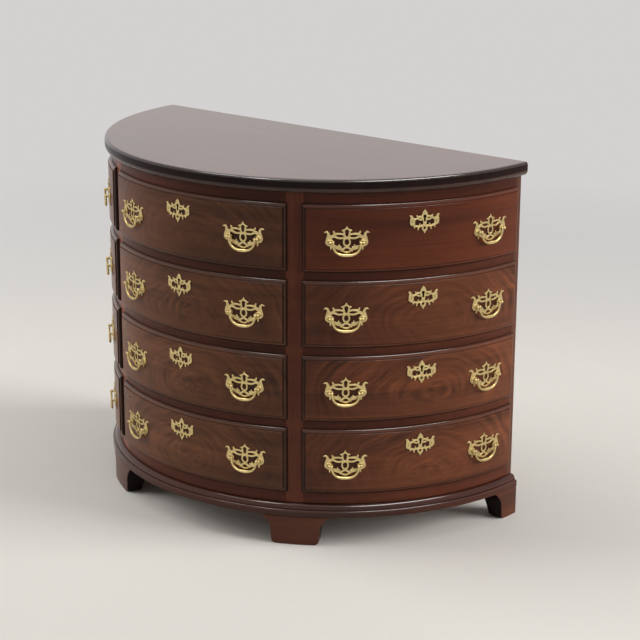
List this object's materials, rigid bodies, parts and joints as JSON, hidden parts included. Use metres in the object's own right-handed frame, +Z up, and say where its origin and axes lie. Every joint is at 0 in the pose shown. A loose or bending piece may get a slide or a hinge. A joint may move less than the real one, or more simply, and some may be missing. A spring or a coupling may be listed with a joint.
{
  "type": "demilune chest",
  "caption": "Half-round chest with bowed lipped drawers in columns, moulded top and base, bracket feet, and brass drop pulls; drawers slide out radially.",
  "frame": {"origin": "centre of the bounding box on the floor", "axes": "+X along the width to the right as seen from the bow, +Y towards the flat back, +Z up"},
  "size_m": [1.1534, 0.576, 0.873],
  "materials": {
    "mahogany": "polished dark red-brown",
    "drawer_wood": "pale unpolished drawer lining",
    "case_wood": "plain unpolished inner wood",
    "brass": "bright lacquered cast brass"
  },
  "bodies": {
    "case": {"top_board": "mahogany", "face_frame": "mahogany", "dust_board_1": "mahogany", "dust_board_2": "mahogany", "dust_board_3": "mahogany", "bottom_board": "case_wood", "back_panel": "case_wood", "base_frame": "mahogany", "foot_rear_left": "mahogany", "foot_front_left": "mahogany", "foot_front_right": "mahogany", "foot_rear_right": "mahogany"},
    "drawer_left_1": {"drawer_front_left_1": "mahogany", "drawer_box_left_1": "drawer_wood"},
    "bail_left_1_l": {"bail_left_1_l": "brass"},
    "bail_left_1_r": {"bail_left_1_r": "brass"},
    "drawer_left_2": {"drawer_front_left_2": "mahogany", "drawer_box_left_2": "drawer_wood"},
    "bail_left_2_l": {"bail_left_2_l": "brass"},
    "bail_left_2_r": {"bail_left_2_r": "brass"},
    "drawer_left_3": {"drawer_front_left_3": "mahogany", "drawer_box_left_3": "drawer_wood"},
    "bail_left_3_l": {"bail_left_3_l": "brass"},
    "bail_left_3_r": {"bail_left_3_r": "brass"},
    "drawer_left_4": {"drawer_front_left_4": "mahogany", "drawer_box_left_4": "drawer_wood"},
    "bail_left_4_l": {"bail_left_4_l": "brass"},
    "bail_left_4_r": {"bail_left_4_r": "brass"},
    "drawer_centre_1": {"drawer_front_centre_1": "mahogany", "drawer_box_centre_1": "drawer_wood"},
    "bail_centre_1_l": {"bail_centre_1_l": "brass"},
    "bail_centre_1_r": {"bail_centre_1_r": "brass"},
    "drawer_centre_2": {"drawer_front_centre_2": "mahogany", "drawer_box_centre_2": "drawer_wood"},
    "bail_centre_2_l": {"bail_centre_2_l": "brass"},
    "bail_centre_2_r": {"bail_centre_2_r": "brass"},
    "drawer_centre_3": {"drawer_front_centre_3": "mahogany", "drawer_box_centre_3": "drawer_wood"},
    "bail_centre_3_l": {"bail_centre_3_l": "brass"},
    "bail_centre_3_r": {"bail_centre_3_r": "brass"},
    "drawer_centre_4": {"drawer_front_centre_4": "mahogany", "drawer_box_centre_4": "drawer_wood"},
    "bail_centre_4_l": {"bail_centre_4_l": "brass"},
    "bail_centre_4_r": {"bail_centre_4_r": "brass"},
    "drawer_right_1": {"drawer_front_right_1": "mahogany", "drawer_box_right_1": "drawer_wood"},
    "bail_right_1_l": {"bail_right_1_l": "brass"},
    "bail_right_1_r": {"bail_right_1_r": "brass"},
    "drawer_right_2": {"drawer_front_right_2": "mahogany", "drawer_box_right_2": "drawer_wood"},
    "bail_right_2_l": {"bail_right_2_l": "brass"},
    "bail_right_2_r": {"bail_right_2_r": "brass"},
    "drawer_right_3": {"drawer_front_right_3": "mahogany", "drawer_box_right_3": "drawer_wood"},
    "bail_right_3_l": {"bail_right_3_l": "brass"},
    "bail_right_3_r": {"bail_right_3_r": "brass"},
    "drawer_right_4": {"drawer_front_right_4": "mahogany", "drawer_box_right_4": "drawer_wood"},
    "bail_right_4_l": {"bail_right_4_l": "brass"},
    "bail_right_4_r": {"bail_right_4_r": "brass"}
  },
  "joints": [
    {"name": "slide_left_1", "type": "slide", "parent": "case", "child": "drawer_left_1", "axis": [-0.866, -0.5, 0], "range_m": [0, 0.3]},
    {"name": "swing_left_1_l", "type": "hinge", "parent": "drawer_left_1", "child": "bail_left_1_l", "pos_m": [-0.5639, 0.16814, 0.731], "axis": [-0.2079, 0.9781, 0], "range_deg": [-4, 100]},
    {"name": "swing_left_1_r", "type": "hinge", "parent": "drawer_left_1", "child": "bail_left_1_r", "pos_m": [-0.38575, -0.14042, 0.731], "axis": [-0.7431, 0.6691, 0], "range_deg": [-4, 100]},
    {"name": "slide_left_2", "type": "slide", "parent": "case", "child": "drawer_left_2", "axis": [-0.866, -0.5, 0], "range_m": [0, 0.3]},
    {"name": "swing_left_2_l", "type": "hinge", "parent": "drawer_left_2", "child": "bail_left_2_l", "pos_m": [-0.5639, 0.16814, 0.5537], "axis": [-0.2079, 0.9781, 0], "range_deg": [-4, 100]},
    {"name": "swing_left_2_r", "type": "hinge", "parent": "drawer_left_2", "child": "bail_left_2_r", "pos_m": [-0.38575, -0.14042, 0.5537], "axis": [-0.7431, 0.6691, 0], "range_deg": [-4, 100]},
    {"name": "slide_left_3", "type": "slide", "parent": "case", "child": "drawer_left_3", "axis": [-0.866, -0.5, 0], "range_m": [0, 0.3]},
    {"name": "swing_left_3_l", "type": "hinge", "parent": "drawer_left_3", "child": "bail_left_3_l", "pos_m": [-0.5639, 0.16814, 0.3764], "axis": [-0.2079, 0.9781, 0], "range_deg": [-4, 100]},
    {"name": "swing_left_3_r", "type": "hinge", "parent": "drawer_left_3", "child": "bail_left_3_r", "pos_m": [-0.38575, -0.14042, 0.3764], "axis": [-0.7431, 0.6691, 0], "range_deg": [-4, 100]},
    {"name": "slide_left_4", "type": "slide", "parent": "case", "child": "drawer_left_4", "axis": [-0.866, -0.5, 0], "range_m": [0, 0.3]},
    {"name": "swing_left_4_l", "type": "hinge", "parent": "drawer_left_4", "child": "bail_left_4_l", "pos_m": [-0.5639, 0.16814, 0.1991], "axis": [-0.2079, 0.9781, 0], "range_deg": [-4, 100]},
    {"name": "swing_left_4_r", "type": "hinge", "parent": "drawer_left_4", "child": "bail_left_4_r", "pos_m": [-0.38575, -0.14042, 0.1991], "axis": [-0.7431, 0.6691, 0], "range_deg": [-4, 100]},
    {"name": "slide_centre_1", "type": "slide", "parent": "case", "child": "drawer_centre_1", "axis": [0, -1, 0], "range_m": [0, 0.3]},
    {"name": "swing_centre_1_l", "type": "hinge", "parent": "drawer_centre_1", "child": "bail_centre_1_l", "pos_m": [-0.17815, -0.26028, 0.731], "axis": [-0.9511, 0.309, 0], "range_deg": [-4, 100]},
    {"name": "swing_centre_1_r", "type": "hinge", "parent": "drawer_centre_1", "child": "bail_centre_1_r", "pos_m": [0.17815, -0.26028, 0.731], "axis": [-0.9511, -0.309, 0], "range_deg": [-4, 100]},
    {"name": "slide_centre_2", "type": "slide", "parent": "case", "child": "drawer_centre_2", "axis": [0, -1, 0], "range_m": [0, 0.3]},
    {"name": "swing_centre_2_l", "type": "hinge", "parent": "drawer_centre_2", "child": "bail_centre_2_l", "pos_m": [-0.17815, -0.26028, 0.5537], "axis": [-0.9511, 0.309, 0], "range_deg": [-4, 100]},
    {"name": "swing_centre_2_r", "type": "hinge", "parent": "drawer_centre_2", "child": "bail_centre_2_r", "pos_m": [0.17815, -0.26028, 0.5537], "axis": [-0.9511, -0.309, 0], "range_deg": [-4, 100]},
    {"name": "slide_centre_3", "type": "slide", "parent": "case", "child": "drawer_centre_3", "axis": [0, -1, 0], "range_m": [0, 0.3]},
    {"name": "swing_centre_3_l", "type": "hinge", "parent": "drawer_centre_3", "child": "bail_centre_3_l", "pos_m": [-0.17815, -0.26028, 0.3764], "axis": [-0.9511, 0.309, 0], "range_deg": [-4, 100]},
    {"name": "swing_centre_3_r", "type": "hinge", "parent": "drawer_centre_3", "child": "bail_centre_3_r", "pos_m": [0.17815, -0.26028, 0.3764], "axis": [-0.9511, -0.309, 0], "range_deg": [-4, 100]},
    {"name": "slide_centre_4", "type": "slide", "parent": "case", "child": "drawer_centre_4", "axis": [0, -1, 0], "range_m": [0, 0.3]},
    {"name": "swing_centre_4_l", "type": "hinge", "parent": "drawer_centre_4", "child": "bail_centre_4_l", "pos_m": [-0.17815, -0.26028, 0.1991], "axis": [-0.9511, 0.309, 0], "range_deg": [-4, 100]},
    {"name": "swing_centre_4_r", "type": "hinge", "parent": "drawer_centre_4", "child": "bail_centre_4_r", "pos_m": [0.17815, -0.26028, 0.1991], "axis": [-0.9511, -0.309, 0], "range_deg": [-4, 100]},
    {"name": "slide_right_1", "type": "slide", "parent": "case", "child": "drawer_right_1", "axis": [0.866, -0.5, 0], "range_m": [0, 0.3]},
    {"name": "swing_right_1_l", "type": "hinge", "parent": "drawer_right_1", "child": "bail_right_1_l", "pos_m": [0.38575, -0.14042, 0.731], "axis": [-0.7431, -0.6691, 0], "range_deg": [-4, 100]},
    {"name": "swing_right_1_r", "type": "hinge", "parent": "drawer_right_1", "child": "bail_right_1_r", "pos_m": [0.5639, 0.16814, 0.731], "axis": [-0.2079, -0.9781, 0], "range_deg": [-4, 100]},
    {"name": "slide_right_2", "type": "slide", "parent": "case", "child": "drawer_right_2", "axis": [0.866, -0.5, 0], "range_m": [0, 0.3]},
    {"name": "swing_right_2_l", "type": "hinge", "parent": "drawer_right_2", "child": "bail_right_2_l", "pos_m": [0.38575, -0.14042, 0.5537], "axis": [-0.7431, -0.6691, 0], "range_deg": [-4, 100]},
    {"name": "swing_right_2_r", "type": "hinge", "parent": "drawer_right_2", "child": "bail_right_2_r", "pos_m": [0.5639, 0.16814, 0.5537], "axis": [-0.2079, -0.9781, 0], "range_deg": [-4, 100]},
    {"name": "slide_right_3", "type": "slide", "parent": "case", "child": "drawer_right_3", "axis": [0.866, -0.5, 0], "range_m": [0, 0.3]},
    {"name": "swing_right_3_l", "type": "hinge", "parent": "drawer_right_3", "child": "bail_right_3_l", "pos_m": [0.38575, -0.14042, 0.3764], "axis": [-0.7431, -0.6691, 0], "range_deg": [-4, 100]},
    {"name": "swing_right_3_r", "type": "hinge", "parent": "drawer_right_3", "child": "bail_right_3_r", "pos_m": [0.5639, 0.16814, 0.3764], "axis": [-0.2079, -0.9781, 0], "range_deg": [-4, 100]},
    {"name": "slide_right_4", "type": "slide", "parent": "case", "child": "drawer_right_4", "axis": [0.866, -0.5, 0], "range_m": [0, 0.3]},
    {"name": "swing_right_4_l", "type": "hinge", "parent": "drawer_right_4", "child": "bail_right_4_l", "pos_m": [0.38575, -0.14042, 0.1991], "axis": [-0.7431, -0.6691, 0], "range_deg": [-4, 100]},
    {"name": "swing_right_4_r", "type": "hinge", "parent": "drawer_right_4", "child": "bail_right_4_r", "pos_m": [0.5639, 0.16814, 0.1991], "axis": [-0.2079, -0.9781, 0], "range_deg": [-4, 100]}
  ]
}
